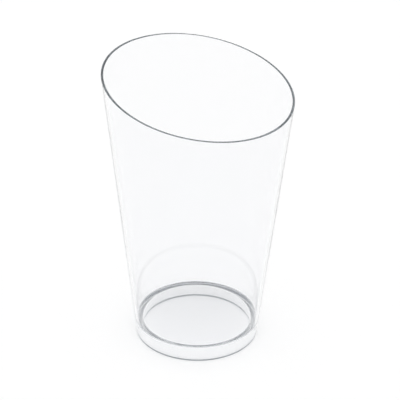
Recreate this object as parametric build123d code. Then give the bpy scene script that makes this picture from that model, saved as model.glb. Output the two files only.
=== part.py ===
"""Clear appetizer cup, moulded in one piece: a tapered wall with a slanted rim, on a hollow foot.

Millimetres, +Z up. The origin is on the cup's axis, in the plane that the foot stands on.
The rim is highest at the back, towards -X, and lowest at the front, towards +X.
"""

import os
from math import radians, tan

from build123d import *

# Outside of the cup
foot_diameter = 34.0  # where the outside meets the table, before its edge is rounded
outer_draft = 6.2  # degrees by which the outside leans out, straight from the foot to the rim
high_side = 79.3  # height of the rim at the back
low_side = 69.1  # height of the rim at the front

# Wall, which thins from the floor to the rim
floor_wall = 0.8  # at the level of the floor
rim_wall = 0.6  # at the rim's high side

# Raised floor and the hollow foot under it
floor_height = 4.7  # top of the floor above the table
floor_thickness = 0.75
foot_width = 1.7  # width of the ring that stands on the table
recess_draft = 1.0  # degrees by which the hollow opens downwards, so that it leaves its core

# Edges and corners
rim_edge_break = 0.2  # on both edges of the rim, so that it isn't sharp to the lips
floor_corner_radius = 0.4  # inside the cup, all round the floor
foot_edge_radius = 0.2  # on the outside of the foot
foot_edge_break = 0.15  # on the inside of the foot

# The blank is this much taller than the rim before it is trimmed along the slant
trim_allowance = 2.0

foot_radius = foot_diameter / 2
recess_mouth_radius = foot_radius - foot_width
recess_height = floor_height - floor_thickness
blank_height = max(high_side, low_side) + trim_allowance


def outer_radius(height):
    """Radius of the outside of the wall at a height above the table."""
    return foot_radius + height * tan(radians(outer_draft))


floor_radius = outer_radius(floor_height) - floor_wall
mouth_radius = outer_radius(high_side) - rim_wall


def inner_radius(height):
    """Radius of the inside of the wall at a height above the table."""
    slope = (mouth_radius - floor_radius) / (high_side - floor_height)
    return floor_radius + slope * (height - floor_height)


def recess_radius(height):
    """Radius of the hollow under the floor at a height above the table."""
    return recess_mouth_radius - height * tan(radians(recess_draft))


def turned_blank():
    """The cup before its rim is trimmed: half of its section, turned about the axis."""
    corners = [
        ((0, recess_height), 0),
        ((recess_radius(recess_height), recess_height), 0),
        ((recess_radius(foot_edge_break), foot_edge_break), 0),
        ((recess_mouth_radius + foot_edge_break, 0), 0),
        ((foot_radius, 0), foot_edge_radius),
        ((outer_radius(blank_height), blank_height), 0),
        ((inner_radius(blank_height), blank_height), 0),
        ((floor_radius, floor_height), floor_corner_radius),
        ((0, floor_height), 0),
    ]
    outline = FilletPolyline(
        *[point for point, radius in corners],
        radius=[radius for point, radius in corners],
        close=True,
    )
    return revolve(Plane.XZ * make_face(outline), Axis.Z)


def slant_plane():
    """Plane of the rim, through the outside of the wall at the high side and at the low side."""
    high_point = Vector(-outer_radius(high_side), 0, high_side)
    low_point = Vector(outer_radius(low_side), 0, low_side)
    along_slant = low_point - high_point
    return Plane(origin=high_point, x_dir=along_slant, z_dir=along_slant.cross(Vector(0, 1, 0)))


def trimmed_cup():
    """The blank cut along the slant, with both edges of the rim broken."""
    slant = slant_plane()
    cut = split(turned_blank(), bisect_by=slant, keep=Keep.BOTTOM)
    rim = cut.faces().filter_by(slant).sort_by(Axis.Z)[-1]
    return chamfer(rim.edges(), rim_edge_break)


cup = trimmed_cup()
cup.label = "cup"

os.makedirs("parts", exist_ok=True)
export_step(cup, "parts/cup.step")
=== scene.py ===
from math import acos, atan2, cos, pi, radians, sin, tan

import bpy
from mathutils import Matrix, Vector


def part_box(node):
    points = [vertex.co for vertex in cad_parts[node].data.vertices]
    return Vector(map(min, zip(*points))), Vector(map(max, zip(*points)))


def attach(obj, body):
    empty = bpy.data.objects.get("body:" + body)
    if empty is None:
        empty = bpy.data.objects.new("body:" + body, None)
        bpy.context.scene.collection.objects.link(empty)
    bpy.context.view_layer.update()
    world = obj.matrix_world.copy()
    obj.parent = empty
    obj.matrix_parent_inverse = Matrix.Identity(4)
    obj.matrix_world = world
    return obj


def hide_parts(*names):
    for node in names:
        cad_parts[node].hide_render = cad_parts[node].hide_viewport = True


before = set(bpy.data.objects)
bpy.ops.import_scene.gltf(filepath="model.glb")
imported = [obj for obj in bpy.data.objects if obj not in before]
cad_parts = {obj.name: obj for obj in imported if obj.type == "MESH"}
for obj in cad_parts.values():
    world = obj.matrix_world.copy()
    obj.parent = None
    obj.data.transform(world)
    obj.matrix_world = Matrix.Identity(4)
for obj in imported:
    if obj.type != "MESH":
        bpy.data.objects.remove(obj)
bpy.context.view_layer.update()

# Cup, its form
# One piece of clear polystyrene, injection-moulded in one shot. The wall thins from the floor up to a rim
# that is trimmed on a slant and rounded over, and a hollow foot carries the floor clear of the table.

mm = 0.001
foot_radius = 17.0 * mm
floor_wall = 0.8 * mm  # thickness of the wall at the floor
rim_wall = 0.6 * mm  # and at the rim's high side
floor_height = 4.7 * mm  # top of the floor above the table
floor_thickness = 0.75 * mm
foot_width = 1.7 * mm  # of the ring that stands on the table
recess_draft = radians(1.0)  # by which the hollow opens downwards
floor_corner_radius = 0.4 * mm
recess_corner_radius = 0.3 * mm
foot_inner_radius = 0.15 * mm
foot_outer_radius = 0.2 * mm
lip_height = 0.1 * mm  # over which the rim is rounded
lip_squareness = 4  # 2 is an ellipse, more has a flatter top

# The mesh has columns round the axis, and rows along the section
turns = 256
corner_steps = 8
corner_flat = 0.03 * mm  # from the end of a rounded corner to a row that keeps its side straight
disc_shares = (0.15, 0.5, 0.9)  # of the radius, for the rows of the underside and the floor
wall_rows = 24
wall_even = 0.9985  # share of the wall's height over which these rows are even
wall_last = (0.9994, 1)  # two more rows, which keep the wall straight up to the lip
wall_shares = [wall_even * row / wall_rows for row in range(1, wall_rows + 1)] + list(wall_last)
lip_rows = 24

# The rim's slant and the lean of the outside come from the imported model
cup_low, cup_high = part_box("cup")
high_side = cup_high.z
outer_lean = (-cup_low.x - foot_radius) / high_side
low_side = (cup_high.x - foot_radius) / outer_lean


def outer_radius(height):
    """Radius of the outside of the wall at a height above the table."""
    return foot_radius + outer_lean * height


floor_radius = outer_radius(floor_height) - floor_wall
mouth_radius = outer_radius(high_side) - rim_wall
inner_lean = (mouth_radius - floor_radius) / (high_side - floor_height)
inner_foot = floor_radius - inner_lean * floor_height
rim_slope = (high_side - low_side) / (outer_radius(high_side) + outer_radius(low_side))
rim_middle = high_side - rim_slope * outer_radius(high_side)


def rounded(before, corner, after, radius):
    """Points of the arc that rounds a corner, with one more on each side that keeps it straight."""
    to_before = (before - corner).normalized()
    to_after = (after - corner).normalized()
    half = acos(to_before.dot(to_after)) / 2
    start = corner + to_before * radius / tan(half)
    end = corner + to_after * radius / tan(half)
    centre = corner + (to_before + to_after).normalized() * radius / sin(half)
    first = atan2(start.y - centre.y, start.x - centre.x)
    swing = atan2(end.y - centre.y, end.x - centre.x) - first
    swing = (swing + pi) % (2 * pi) - pi
    arc = [first + swing * step / corner_steps for step in range(corner_steps + 1)]
    points = [centre + radius * Vector((cos(angle), sin(angle))) for angle in arc]
    return [start + to_before * corner_flat] + points + [end + to_after * corner_flat]


recess_height = floor_height - floor_thickness
recess_mouth = foot_radius - foot_width
recess_top = recess_mouth - recess_height * tan(recess_draft)
underside_middle = Vector((0, recess_height))
recess_corner = Vector((recess_top, recess_height))
foot_inner_edge = Vector((recess_mouth, 0))
foot_outer_edge = Vector((foot_radius, 0))
outer_wall_end = Vector((outer_radius(low_side), low_side))
inner_wall_end = Vector((inner_foot + inner_lean * low_side, low_side))
floor_corner = Vector((floor_radius, floor_height))
floor_middle = Vector((0, floor_height))

foot_outline = [Vector((recess_top * share, recess_height)) for share in disc_shares]
foot_outline += rounded(underside_middle, recess_corner, foot_inner_edge, recess_corner_radius)
foot_outline += rounded(recess_corner, foot_inner_edge, foot_outer_edge, foot_inner_radius)
foot_outline += rounded(foot_inner_edge, foot_outer_edge, outer_wall_end, foot_outer_radius)
floor_outline = rounded(inner_wall_end, floor_corner, floor_middle, floor_corner_radius)
floor_outline += [Vector((floor_radius * share, floor_height)) for share in reversed(disc_shares)]


def lip(outer_base, inner_base, rise):
    """Points over the rim, from the outside of the wall to the inside."""
    middle = (outer_base + inner_base) / 2
    half = (outer_base - inner_base) / 2
    points = []
    for step in range(1, lip_rows):
        angle = pi * step / lip_rows
        across = abs(cos(angle)) ** (2 / lip_squareness) * (1 if angle < pi / 2 else -1)
        points.append(middle + half * across + rise * sin(angle) ** (2 / lip_squareness))
    return points


def section(angle):
    """The section at an angle round the axis, from the underside over the rim to the floor."""
    slant = rim_slope * cos(angle)
    outer_top = (rim_middle - slant * foot_radius) / (1 + slant * outer_lean)
    inner_top = (rim_middle - slant * inner_foot) / (1 + slant * inner_lean)
    outer_base = Vector((outer_radius(outer_top - lip_height), outer_top - lip_height))
    inner_base_radius = inner_foot + inner_lean * (inner_top - lip_height)
    inner_base = Vector((inner_base_radius, inner_top - lip_height))
    rise = Vector(((outer_lean + inner_lean) / 2 * lip_height, lip_height))
    outside = [foot_outline[-1].lerp(outer_base, share) for share in wall_shares]
    inside = [floor_outline[0].lerp(inner_base, share) for share in reversed(wall_shares)]
    return foot_outline + outside + lip(outer_base, inner_base, rise) + inside + floor_outline


columns = []
for turn in range(turns):
    angle = 2 * pi * turn / turns
    columns.append([(p.x * cos(angle), p.x * sin(angle), p.y) for p in section(angle)])
rows = len(columns[0])
points = [point for column in columns for point in column]
underside_point = len(points)
floor_point = underside_point + 1
points += [(0, 0, recess_height), (0, 0, floor_height)]
faces = []
for turn in range(turns):
    here = turn * rows
    there = (turn + 1) % turns * rows
    faces += [(here + row, there + row, there + row + 1, here + row + 1) for row in range(rows - 1)]
    faces.append((underside_point, there, here))
    faces.append((floor_point, here + rows - 1, there + rows - 1))

cup_mesh = bpy.data.meshes.new("clear_cup")
cup_mesh.from_pydata(points, [], faces)
cup_mesh.shade_smooth()
clear_cup = bpy.data.objects.new("clear_cup", cup_mesh)
bpy.context.scene.collection.objects.link(clear_cup)
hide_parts("cup")
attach(clear_cup, "root")

# Cup, its plastic
# General-purpose polystyrene, clear with a faint blue-grey cast that shows where light runs along the wall.
# The polished mould leaves it glossy, with a slight waviness from the flow and a trace of haze.

polystyrene_ior = 1.59
cast_colour = (0.80, 0.82, 0.83, 1)
cast_density = 35.0
surface_tint = (0.976, 0.978, 0.984, 1)
wave_size = 9 * mm
wave_depth = 0.002 * mm
wave_detail = 1
haze_size = 14 * mm
haze_start = 0.45  # of the noise, up to which the plastic is at its clearest
haze_full = 0.75  # and from which it is at its haziest
least_roughness = 0.0
most_roughness = 0.02


def clear_polystyrene():
    """The cup's material."""
    material = bpy.data.materials.new("clear_polystyrene")
    material.use_nodes = True
    tree = material.node_tree
    plastic = tree.nodes["Principled BSDF"]
    plastic.inputs["Base Color"].default_value = surface_tint
    plastic.inputs["Transmission Weight"].default_value = 1
    plastic.inputs["IOR"].default_value = polystyrene_ior
    place = tree.nodes.new("ShaderNodeTexCoord")
    haze = tree.nodes.new("ShaderNodeTexNoise")
    haze.inputs["Scale"].default_value = 1 / haze_size
    haze_range = tree.nodes.new("ShaderNodeMapRange")
    haze_range.inputs["From Min"].default_value = haze_start
    haze_range.inputs["From Max"].default_value = haze_full
    haze_range.inputs["To Min"].default_value = least_roughness
    haze_range.inputs["To Max"].default_value = most_roughness
    waves = tree.nodes.new("ShaderNodeTexNoise")
    waves.inputs["Scale"].default_value = 1 / wave_size
    waves.inputs["Detail"].default_value = wave_detail
    bump = tree.nodes.new("ShaderNodeBump")
    bump.inputs["Distance"].default_value = wave_depth
    cast = tree.nodes.new("ShaderNodeVolumeAbsorption")
    cast.inputs["Color"].default_value = cast_colour
    cast.inputs["Density"].default_value = cast_density
    tree.links.new(place.outputs["Object"], haze.inputs["Vector"])
    tree.links.new(haze.outputs["Fac"], haze_range.inputs["Value"])
    tree.links.new(haze_range.outputs["Result"], plastic.inputs["Roughness"])
    tree.links.new(place.outputs["Object"], waves.inputs["Vector"])
    tree.links.new(waves.outputs["Fac"], bump.inputs["Height"])
    tree.links.new(bump.outputs["Normal"], plastic.inputs["Normal"])
    tree.links.new(cast.outputs["Volume"], tree.nodes["Material Output"].inputs["Volume"])
    return material


clear_cup.data.materials.append(clear_polystyrene())

# Table
# A matt white sheet, wide enough to fill the view. The foot's ring is pressed against it with no air
# between them. Under the ring the sheet carries a painted shade: it is painted greyer, most so under the
# outer half of the ring.

table_reach = 5.0
table_press = 0.02 * mm  # by which the foot sinks in
table_white = (1, 1, 1, 1)
# The painted shade under the foot's ring: its grey, and the radii over which the sheet is painted with it.
painted_shade_grey = (0.40, 0.42, 0.45, 1)
painted_shade_start = 15.2 * mm  # radius from which the sheet turns grey
painted_shade_full = 16.0 * mm  # and from which it is fully so
painted_shade_end = 16.8 * mm

table_mesh = bpy.data.meshes.new("table")
corners = [(-1, -1), (1, -1), (1, 1), (-1, 1)]
sheet_points = [(x * table_reach, y * table_reach, table_press) for x, y in corners]
table_mesh.from_pydata(sheet_points, [], [(0, 1, 2, 3)])
table = bpy.data.objects.new("table", table_mesh)
bpy.context.scene.collection.objects.link(table)
matt_white = bpy.data.materials.new("matt_white")
matt_white.use_nodes = True
sheet_tree = matt_white.node_tree
sheet = sheet_tree.nodes["Principled BSDF"]
sheet.inputs["Roughness"].default_value = 1
sheet.inputs["Specular IOR Level"].default_value = 0
sheet_place = sheet_tree.nodes.new("ShaderNodeTexCoord")
from_axis = sheet_tree.nodes.new("ShaderNodeVectorMath")
from_axis.operation = "LENGTH"
# Mask of the painted shade: a grey ring set by the distance from the axis, under the foot's ring only.
painted_shade_ramp = sheet_tree.nodes.new("ShaderNodeMapRange")
painted_shade_ramp.inputs["From Min"].default_value = painted_shade_start
painted_shade_ramp.inputs["From Max"].default_value = painted_shade_full
under_foot = sheet_tree.nodes.new("ShaderNodeMath")
under_foot.operation = "LESS_THAN"
under_foot.inputs[1].default_value = painted_shade_end
painted_shade_amount = sheet_tree.nodes.new("ShaderNodeMath")
painted_shade_amount.operation = "MULTIPLY"
sheet_colour = sheet_tree.nodes.new("ShaderNodeMixRGB")
sheet_colour.inputs["Color1"].default_value = table_white
sheet_colour.inputs["Color2"].default_value = painted_shade_grey
sheet_tree.links.new(sheet_place.outputs["Object"], from_axis.inputs[0])
sheet_tree.links.new(from_axis.outputs["Value"], painted_shade_ramp.inputs["Value"])
sheet_tree.links.new(from_axis.outputs["Value"], under_foot.inputs[0])
sheet_tree.links.new(painted_shade_ramp.outputs["Result"], painted_shade_amount.inputs[0])
sheet_tree.links.new(under_foot.outputs["Value"], painted_shade_amount.inputs[1])
sheet_tree.links.new(painted_shade_amount.outputs["Value"], sheet_colour.inputs["Fac"])
sheet_tree.links.new(sheet_colour.outputs["Color"], sheet.inputs["Base Color"])
table_mesh.materials.append(matt_white)

# Light
# A white studio tent. High up behind the cup, where no view from above the table sees it directly, it
# has a dark opening that the cup's floor mirrors. Light runs up and down inside the wall, so its paths
# are let run long and stay sharp.

opening_side = radians(135.0)
opening_edge = radians(31.5)  # as an angle from the horizon under it, up to which it is dark
tent_edge = radians(35.5)  # and from which the tent is white
sill_white = radians(22.0)  # as an angle above the horizon, up to which the tent below it is white
sill_dark = radians(27.0)  # and from which the opening is dark
tent_light = 1.022  # so that the table gets a light of 1
opening_light = 0.05
tent_white = (1, 1, 1, 1)
plastic_bounces = 512
table_bounces = 8
under_opening = (cos(opening_side), sin(opening_side), 0)

tent = bpy.data.worlds.new("tent")
tent.use_nodes = True
tent_tree = tent.node_tree
sky = tent_tree.nodes["Background"]
sky.inputs["Color"].default_value = tent_white
direction = tent_tree.nodes.new("ShaderNodeTexCoord")
nearness = tent_tree.nodes.new("ShaderNodeVectorMath")
nearness.operation = "DOT_PRODUCT"
nearness.inputs[1].default_value = under_opening
inside_edge = tent_tree.nodes.new("ShaderNodeMapRange")
inside_edge.interpolation_type = "SMOOTHSTEP"
inside_edge.inputs["From Min"].default_value = cos(tent_edge)
inside_edge.inputs["From Max"].default_value = cos(opening_edge)
upwards = tent_tree.nodes.new("ShaderNodeSeparateXYZ")
above_sill = tent_tree.nodes.new("ShaderNodeMapRange")
above_sill.interpolation_type = "SMOOTHSTEP"
above_sill.inputs["From Min"].default_value = sin(sill_white)
above_sill.inputs["From Max"].default_value = sin(sill_dark)
darkness = tent_tree.nodes.new("ShaderNodeMath")
darkness.operation = "MULTIPLY"
brightness = tent_tree.nodes.new("ShaderNodeMapRange")
brightness.inputs["To Min"].default_value = tent_light
brightness.inputs["To Max"].default_value = opening_light
tent_tree.links.new(direction.outputs["Generated"], nearness.inputs[0])
tent_tree.links.new(direction.outputs["Generated"], upwards.inputs["Vector"])
tent_tree.links.new(nearness.outputs["Value"], inside_edge.inputs["Value"])
tent_tree.links.new(upwards.outputs["Z"], above_sill.inputs["Value"])
tent_tree.links.new(inside_edge.outputs["Result"], darkness.inputs[0])
tent_tree.links.new(above_sill.outputs["Result"], darkness.inputs[1])
tent_tree.links.new(darkness.outputs["Value"], brightness.inputs["Value"])
tent_tree.links.new(brightness.outputs["Result"], sky.inputs["Strength"])

scene = bpy.context.scene
scene.world = tent
scene.view_settings.view_transform = "Standard"
scene.cycles.max_bounces = plastic_bounces
scene.cycles.glossy_bounces = plastic_bounces
scene.cycles.transmission_bounces = plastic_bounces
scene.cycles.diffuse_bounces = table_bounces
scene.cycles.blur_glossy = 0

# Camera
# A long lens above the table, which looks down at the cup with the low side of the rim towards it, on the
# right, and is rolled a little about its own axis.

camera_azimuth = radians(45.0)
camera_elevation = radians(28.9)
camera_roll = radians(0.8)
camera_distance = 0.39198
camera_lens = 131.46
camera_near = 1 * mm
aim_right = 0.437 * mm
aim_height = 40.595 * mm

right = Vector((cos(camera_azimuth), sin(camera_azimuth), 0))
towards = Vector((sin(camera_azimuth), -cos(camera_azimuth), 0))
look = -towards * cos(camera_elevation) - Vector((0, 0, sin(camera_elevation)))
up = right.cross(look)
right_rolled = right * cos(camera_roll) + up * sin(camera_roll)
up_rolled = up * cos(camera_roll) - right * sin(camera_roll)
aim = right * aim_right + Vector((0, 0, aim_height))

lens = bpy.data.cameras.new("camera")
lens.lens = camera_lens
lens.clip_start = camera_near
camera = bpy.data.objects.new("camera", lens)
facing = Matrix((right_rolled, up_rolled, -look)).transposed()
camera.matrix_world = Matrix.Translation(aim - look * camera_distance) @ facing.to_4x4()
scene.collection.objects.link(camera)
scene.camera = camera
